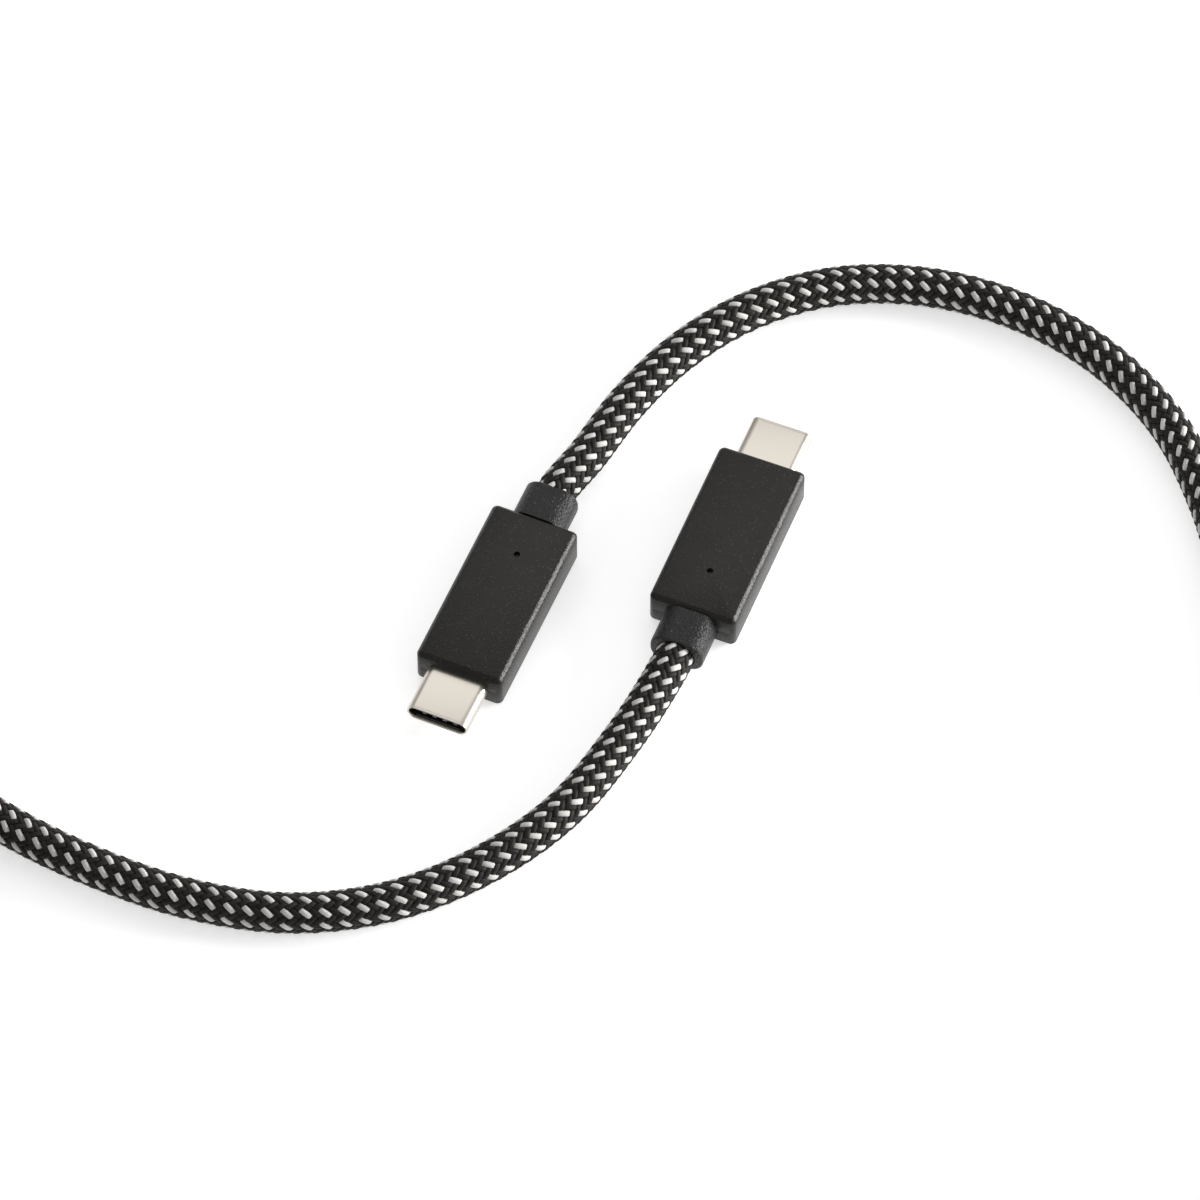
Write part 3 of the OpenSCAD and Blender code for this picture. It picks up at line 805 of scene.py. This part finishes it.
def braid_piece(name, line, s, angle, hand, white, tint, lean):
    """One stretch of the braid: a closed crowned float for each place."""
    c = cord_sizes()
    radius = c.diameter / 2
    tilt = (c.braid_angle + lean)[:, None, None]
    along = ALONG[None, :, None] * c.float_length / 2
    across = ACROSS[None, None, :] * (BREADTH[None, :, None] * c.float_width / 2)
    h = hand[:, None, None]
    round_by = h * along * np.sin(tilt) + across * np.cos(tilt)
    forward = along * np.cos(tilt) - h * across * np.sin(tilt)
    out = radius - c.float_crown * (1 - LIFT[None, :, None] * CROWN[None, None, :])
    out = out + np.where(white, 0.03 * MM, 0.0)[:, None, None] * LIFT[None, :, None]
    at = s[:, None, None] + forward
    out = out * cord_taper(at, line.length)
    points = line.surface(at, angle[:, None, None] + round_by / radius, out)
    rings, wide = len(ALONG), len(ACROSS)
    shape = []
    for i in range(rings - 1):
        for j in range(wide):
            k = (j + 1) % wide
            shape.append((i * wide + j, i * wide + k, (i + 1) * wide + k, (i + 1) * wide + j))
    count = len(s)
    starts = np.arange(count)[:, None, None] * rings * wide
    sides = (np.array(shape)[None] + starts).reshape(-1, 4)
    caps = np.array([tuple(range(wide))[::-1], tuple(range((rings - 1) * wide, rings * wide))])
    caps = (caps[None] + starts).reshape(-1, wide)
    mesh = bpy.data.meshes.new(name)
    mesh.vertices.add(points.size // 3)
    mesh.vertices.foreach_set("co", points.astype(np.float32).ravel())
    corners = np.concatenate([sides.ravel(), caps.ravel()]).astype(np.int32)
    mesh.loops.add(len(corners))
    mesh.loops.foreach_set("vertex_index", corners)
    totals = np.concatenate([np.full(len(sides), 4), np.full(len(caps), wide)])
    mesh.polygons.add(len(totals))
    mesh.polygons.foreach_set("loop_start", np.concatenate([[0], np.cumsum(totals)[:-1]]).astype(np.int32))
    mesh.update(calc_edges=True)
    colour = np.where(white, 0, 1)
    index = np.concatenate([np.repeat(colour, len(shape)), np.repeat(colour, 2)])
    mesh.materials.append(MATERIALS["white_yarn"])
    mesh.materials.append(MATERIALS["black_yarn"])
    mesh.polygons.foreach_set("material_index", index.astype(np.int32))
    mesh.polygons.foreach_set("use_smooth", np.ones(len(totals), bool))
    mapped = np.stack(np.broadcast_arrays(ALONG[:, None], ACROSS[None, :]), -1).reshape(-1, 2)
    mapped = np.tile(mapped * 0.5 + 0.5, (count, 1))
    mesh.uv_layers.new(name="yarn").data.foreach_set("uv", mapped[corners].astype(np.float32).ravel())
    own = mesh.attributes.new("tint", "FLOAT", "POINT")
    own.data.foreach_set("value", np.repeat(tint, rings * wide).astype(np.float32))
    mesh.validate()
    piece = bpy.data.objects.new(name, mesh)
    bpy.context.scene.collection.objects.link(piece)
    return piece


def make_cord():
    """The woven cord from plug to plug, coil and all."""
    c = cord_sizes()
    line = Line(cord_line(), c.strand_pitch / 4)
    core = cord_core(line)
    rng = np.random.default_rng(c.seed)
    s, angle, hand, white = float_places(line, rng)
    tint = rng.random(len(s))
    lean = rng.normal(0, math.radians(LEAN_SPREAD), len(s))
    which = np.minimum((s / line.length * BRAID_PIECES).astype(int), BRAID_PIECES - 1)
    braids = []
    for i in range(BRAID_PIECES):
        m = which == i
        braids.append(
            braid_piece(f"braid_{i + 1}", line, s[m], angle[m], hand[m], white[m], tint[m], lean[m])
        )
    for piece in [core, *braids]:
        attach(piece, "root")
    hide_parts("cord_run_a", "cord_run_b", "cord_coil", "sleeve_end_a", "sleeve_end_b")
    s = plug_sizes()
    leaves = plug_place("a") @ Vector((-s.case_length / 2 - s.relief_length, 0, 0))


# ---- Coil tie ----

TIE_GAP = 0.25
TIE_TOP_SHARE = 0.5
TIE_FOOT_RADIUS, TIE_WAIST_RADIUS, TIE_TOP_RADIUS, TIE_RIM = 2.4, 1, 2.2, 0.15


def make_tie():
    """The strap round the coil: an open band over three strands, thickened and softened."""
    c = strap_sizes()
    t, d = c.tie_thickness, c.diameter
    wide = OUTER_TURN - INNER_TURN + d + 2 * (t + TIE_GAP)
    waist = t + d / 2
    top = TOP_HEIGHT + d / 2 + 2 * t + TIE_GAP
    band = block("tie", (wide, c.tie_width, top), (0, 0, top / 2))
    cut_along(band, (0, 0, waist), (0, 0, 1))
    select_points(band, lambda p: near(p.z, top))
    bpy.ops.transform.resize(value=(TIE_TOP_SHARE, 1, 1))
    bpy.ops.object.mode_set(mode="OBJECT")
    for height, radius in ((0, TIE_FOOT_RADIUS), (top, TIE_TOP_RADIUS), (waist, TIE_WAIST_RADIUS)):
        rounded(band, lambda a, b: near(a.z, height) and near(b.z, height) and not near(a.y, b.y), radius, 7)
    select_faces(band, lambda centre, normal: abs(normal.y) > 0.9)
    bpy.ops.mesh.delete(type="FACE")
    bpy.ops.object.mode_set(mode="OBJECT")
    thicken(band, t)
    edit(band, "EDGE")
    bpy.ops.object.mode_set(mode="EDIT")
    bpy.ops.mesh.edges_select_sharp(sharpness=math.radians(60))
    bpy.ops.mesh.bevel(offset=TIE_RIM, segments=2, affect="EDGES")
    bpy.ops.object.mode_set(mode="OBJECT")
    smooth(band)
    angle = math.radians(TIE_AT)
    out = Vector((math.cos(angle), math.sin(angle), 0)) * TOP_TURN
    place = Matrix.Translation((Vector((*COIL_CENTRE, 0)) + out) * MM) @ Matrix.Rotation(angle, 4, "Z")
    band.data.transform(place @ Matrix.Scale(MM, 4))
    band.data.materials.append(MATERIALS["tie"])
    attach(band, "root")
    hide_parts("coil_tie")


# ---- Plug pieces ----

EDGE_PROFILE = 0.34
PARTING_BEVEL = 0.05
SHELL_GAP = 0.06
NECK_HOLE = 2.28


def case_half(name, upper):
    """One half of the case: rounded outside, hollow inside, notched for the shell and the cord."""
    s = plug_sizes()
    side = 1 if upper else -1
    half = block(name, (s.case_length, s.case_width, s.case_height), (0, 0, 0))
    rounded(half, lambda a, b: not near(a.z, b.z), s.corner_radius, 8)
    flat = s.case_height / 2
    rounded(half, lambda a, b: near(abs(a.z), flat) and near(a.z, b.z), s.edge_radius, 6, EDGE_PROFILE)
    cut_along(half, (0, 0, 0), (0, 0, side), keep="outer")
    end = s.case_length / 2

    def on_parting_line(a, b):
        return near(a.z, 0) and near(b.z, 0) and near(abs(a.x), end) and near(abs(b.x), end)

    rounded(half, on_parting_line, PARTING_BEVEL, 1)
    hollow = [s.case_length - 2 * s.case_wall, s.case_width - 2 * s.case_wall, s.case_height - 2 * s.case_skin]
    combine(half, block("hollow", hollow, (0, 0, 0)), "DIFFERENCE")
    opening = oval_bar("opening", 4, s.shell_width + SHELL_GAP, s.shell_height + SHELL_GAP, end)
    combine(half, opening, "DIFFERENCE")
    combine(half, rod("neck_hole", NECK_HOLE, 4, (-end, 0, 0)), "DIFFERENCE")
    return half


PEG_PLACES = [(-6.8, 3.5), (-6.8, -3.5)]
BOSS_RADIUS, PEG_RADIUS, PEG_GAP, PEG_REACH = 1.1, 0.6, 0.03, 1.2


def upper_half():
    """The upper case half, with its recess and the bosses that take the pegs."""
    s = plug_sizes()
    half = case_half("upper_case", True)
    place = (s.recess_place - s.case_length / 2, 0, s.case_height / 2)
    combine(half, rod("recess", s.recess_radius, 2 * s.recess_depth, place, upright=True), "DIFFERENCE")
    inside = s.case_height / 2 - s.case_skin
    for x, y in PEG_PLACES:
        boss = rod("boss", BOSS_RADIUS, inside + 0.1, (x, y, inside / 2 + 0.05), upright=True)
        combine(half, boss, "UNION")
        hole = rod("hole", PEG_RADIUS + PEG_GAP, 3, (x, y, 0), upright=True)
        combine(half, hole, "DIFFERENCE")
    return half


def lower_half():
    """The lower case half, with its pegs."""
    s = plug_sizes()
    half = case_half("lower_case", False)
    inside = s.case_height / 2 - s.case_skin
    for x, y in PEG_PLACES:
        boss = rod("boss", BOSS_RADIUS, inside, (x, y, -inside / 2 - 0.1), upright=True)
        combine(half, boss, "UNION")
        peg = rod("peg", PEG_RADIUS, inside, (x, y, PEG_REACH - inside / 2), upright=True)
        combine(half, peg, "UNION")
    return half


RIM_RADIUS, MOUTH_GAP, BORE_RADIUS = 0.35, 0.12, 1.73
NECK_RADIUS, NECK_LENGTH = 2.25, 2.2
FLANGE = (1.4, 8.4, 3.94)


def relief_body():
    """The strain relief: round flanks, a soft rim, the cord's seat, and a neck and flange inside."""
    s = plug_sizes()
    rear = -s.case_length / 2
    body = block("relief", (s.relief_length, s.relief_width, s.relief_height), (rear - s.relief_length / 2, 0, 0))
    rounded(body, lambda a, b: not near(a.x, b.x), s.relief_radius, 10)
    outer = rear - s.relief_length
    rounded(body, lambda a, b: near(a.x, outer) and near(b.x, outer), RIM_RADIUS, 4)
    combine(body, rod("neck", NECK_RADIUS, NECK_LENGTH, (rear + 0.9, 0, 0)), "UNION")
    flange = block("flange", FLANGE, (rear + 2.33, 0, 0))
    rounded(flange, lambda a, b: not near(a.x, b.x), 0.8, 4)
    combine(body, flange, "UNION")
    seat = strap_sizes().seat_radius
    combine(body, rod("seat", seat, 5.3, (outer + 1.65, 0, 0)), "DIFFERENCE")
    combine(body, rod("mouth", seat + MOUTH_GAP, 0.6, (outer, 0, 0)), "DIFFERENCE")
    combine(body, rod("bore", BORE_RADIUS, 14, (rear, 0, 0)), "DIFFERENCE")
    return body


# The shell's lip: cuts back from the tip, and how far each ring of points moves inwards.
LIP_CUTS = (0.42, 0.3, 0.2, 0.08)
LIP_MOVES = ((0.3, 0.035), (0, 0.07), (0.08, 0.02))
COLLAR_BACK, COLLAR_FRONT, COLLAR_OUT = 2.05, 1.65, 0.35


def shell_body():
    """The drawn shell: an oval tube with a rolled lip, and a collar that the case holds."""
    s = plug_sizes()
    front = s.case_length / 2
    tip, tail = front + s.shell_out, front - s.shell_in
    body = oval_bar("shell", tip - tail, s.shell_width, s.shell_height, (tip + tail) / 2, 14)
    select_faces(body, lambda centre, normal: abs(normal.x) > 0.9)
    bpy.ops.mesh.delete(type="ONLY_FACE")
    bpy.ops.object.mode_set(mode="OBJECT")
    collar = (front - COLLAR_BACK, front - COLLAR_FRONT)
    for x in (*collar, *[tip - back for back in LIP_CUTS]):
        cut_along(body, (x, 0, 0), (1, 0, 0))
    for back, inward in LIP_MOVES:
        select_points(body, lambda p: near(p.x, tip - back))
        bpy.ops.transform.shrink_fatten(value=-inward)
        bpy.ops.object.mode_set(mode="OBJECT")
    select_faces(body, lambda centre, normal: collar[0] < centre.x < collar[1])
    bpy.ops.mesh.extrude_region_shrink_fatten(TRANSFORM_OT_shrink_fatten={"value": COLLAR_OUT})
    bpy.ops.object.mode_set(mode="OBJECT")
    thicken(body, s.shell_wall)
    return body


def make_cases():
    to_plugs(upper_half(), "upper_case", MATERIALS["case"])
    to_plugs(lower_half(), "lower_case", MATERIALS["case"])


def make_reliefs():
    to_plugs(relief_body(), "strain_relief", MATERIALS["relief"])


def make_shells():
    to_plugs(shell_body(), "plug_shell", MATERIALS["shell"])


INNER_FINISHES = {
    "insulator_upper": "insulator", "insulator_lower": "insulator",
    "contacts_upper": "gold", "contacts_lower": "gold",
    "ground_plate": "steel", "ground_spring_upper": "steel", "ground_spring_lower": "steel",
    "latch_left": "steel", "latch_right": "steel",
    "circuit_board": "board", "marker_chip": "chip", "capacitors": "ceramic",
    "shield_upper": "tin", "shield_lower": "tin", "crimp_ring": "copper",
    "jacket_end": "jacket", "power_wires": "red_wire", "signal_wires": "white_wire",
}


def finish_inner_parts():
    """Gives the parts inside the plugs their finishes."""
    for plug in PLUGS:
        for stem, finish in INNER_FINISHES.items():
            node = frame["nodes"][f"{stem}_{plug}"]
            node.data.materials.clear()
            node.data.materials.append(MATERIALS[finish])


# ---- Stage ----


def area_light(name, place, size, power):
    """A soft light that shines on the middle of the table."""
    data = bpy.data.lights.new(name, "AREA")
    data.shape = "RECTANGLE"
    data.size, data.size_y = size
    data.energy = power
    lamp = bpy.data.objects.new(name, data)
    lamp.location = place
    lamp.rotation_euler = (-Vector(place)).to_track_quat("-Z", "Y").to_euler()
    bpy.context.scene.collection.objects.link(lamp)


def make_stage():
    """Floor, lights and camera."""
    s = bpy.context.scene.cable_stage
    scene = bpy.context.scene
    scene.view_settings.view_transform = "Standard"
    data = bpy.data.cameras.new("camera")
    data.lens = s.lens
    data.clip_start, data.clip_end = 0.01, 20
    camera = bpy.data.objects.new("camera", data)
    back = Vector((0, -math.cos(s.elevation), math.sin(s.elevation)))
    camera.location = Vector(s.look_at) + back * s.distance
    camera.rotation_euler = (math.pi / 2 - s.elevation, 0, 0)
    scene.collection.objects.link(camera)
    scene.camera = camera
    deselect()
    bpy.ops.mesh.primitive_plane_add(size=s.floor_size, location=(0, 0, -0.0001))
    floor = named("floor")
    made, n, shader = material(
        "light table", Roughness=0.9, Specular_IOR_Level=0.1, Emission_Color=(1, 1, 1, 1),
        Emission_Strength=s.table_glow,
    )
    place = n.add("TexCoord").outputs["Object"]
    tone = n.add("TexNoise", {"Vector": place, "Scale": 40.0, "Detail": 2.0})
    join(n, shader, Base_Color=n.mix(tone.outputs["Fac"], (0.8, 0.8, 0.8), (0.82, 0.82, 0.82)))
    floor.data.materials.append(made)
    world = bpy.data.worlds.new("studio")
    world.use_nodes = True
    world.node_tree.nodes["Background"].inputs["Color"].default_value = (1, 1, 1, 1)
    world.node_tree.nodes["Background"].inputs["Strength"].default_value = s.room_light
    scene.world = world
    area_light("side", (0.8, 0.08, 0.2), (0.45, 0.3), s.side_light)
    area_light("overhead", (0, 0.55, 0.85), (1.1, 0.8), s.overhead_light)


# ---- Operators ----


class CABLE_OT_stage(bpy.types.Operator):
    """Set up the camera, the floor and the lights"""

    bl_idname = "cable.stage"
    bl_label = "Stage"

    def execute(self, context):
        make_stage()
        return {"FINISHED"}


class CABLE_OT_finishes(bpy.types.Operator):
    """Make the cable's materials"""

    bl_idname = "cable.finishes"
    bl_label = "Finishes"

    def execute(self, context):
        make_materials()
        return {"FINISHED"}


class CABLE_OT_cord(bpy.types.Operator):
    """Braid the cord along its route and coil"""

    bl_idname = "cable.cord"
    bl_label = "Cord"

    def execute(self, context):
        make_cord()
        return {"FINISHED"}


class CABLE_OT_tie(bpy.types.Operator):
    """Put the strap round the coil"""

    bl_idname = "cable.tie"
    bl_label = "Coil tie"

    def execute(self, context):
        make_tie()
        return {"FINISHED"}


class CABLE_OT_cases(bpy.types.Operator):
    """Mould both halves of each plug's case"""

    bl_idname = "cable.cases"
    bl_label = "Plug cases"

    def execute(self, context):
        make_cases()
        return {"FINISHED"}


class CABLE_OT_reliefs(bpy.types.Operator):
    """Mould each plug's strain relief"""

    bl_idname = "cable.reliefs"
    bl_label = "Strain reliefs"

    def execute(self, context):
        make_reliefs()
        return {"FINISHED"}


class CABLE_OT_shells(bpy.types.Operator):
    """Draw each plug's metal shell"""

    bl_idname = "cable.shells"
    bl_label = "Plug shells"

    def execute(self, context):
        make_shells()
        return {"FINISHED"}


class CABLE_OT_inner_parts(bpy.types.Operator):
    """Finish the contacts, board, shields and wires inside the plugs"""

    bl_idname = "cable.inner_parts"
    bl_label = "Inner parts"

    def execute(self, context):
        finish_inner_parts()
        return {"FINISHED"}


OPERATORS = (
    CABLE_OT_stage, CABLE_OT_finishes, CABLE_OT_cord, CABLE_OT_tie, CABLE_OT_cases,
    CABLE_OT_reliefs, CABLE_OT_shells, CABLE_OT_inner_parts,
)


class CABLE_PT_panel(bpy.types.Panel):
    """Lists the cable's settings and the steps that build it"""

    bl_idname = "CABLE_PT_panel"
    bl_label = "Braided Charging Cable"
    bl_space_type = "VIEW_3D"
    bl_region_type = "UI"
    bl_category = "Cable"

    def draw(self, context):
        for operator in OPERATORS:
            self.layout.operator(operator.bl_idname)
        for name in GROUPS:
            settings = getattr(context.scene, name)
            box = self.layout.box()
            for key in settings.__annotations__:
                box.prop(settings, key)


CLASSES = (*GROUPS.values(), *OPERATORS, CABLE_PT_panel)


def register():
    for c in CLASSES:
        bpy.utils.register_class(c)
    for name, group in GROUPS.items():
        setattr(bpy.types.Scene, name, bpy.props.PointerProperty(type=group))


def unregister():
    for name in GROUPS:
        delattr(bpy.types.Scene, name)
    for c in reversed(CLASSES):
        bpy.utils.unregister_class(c)


def main():
    register()
    bpy.ops.cable.stage()
    bpy.ops.cable.finishes()
    bpy.ops.cable.cord()
    bpy.ops.cable.tie()
    bpy.ops.cable.cases()
    bpy.ops.cable.reliefs()
    bpy.ops.cable.shells()
    bpy.ops.cable.inner_parts()


if __name__ == "__main__":
    main()
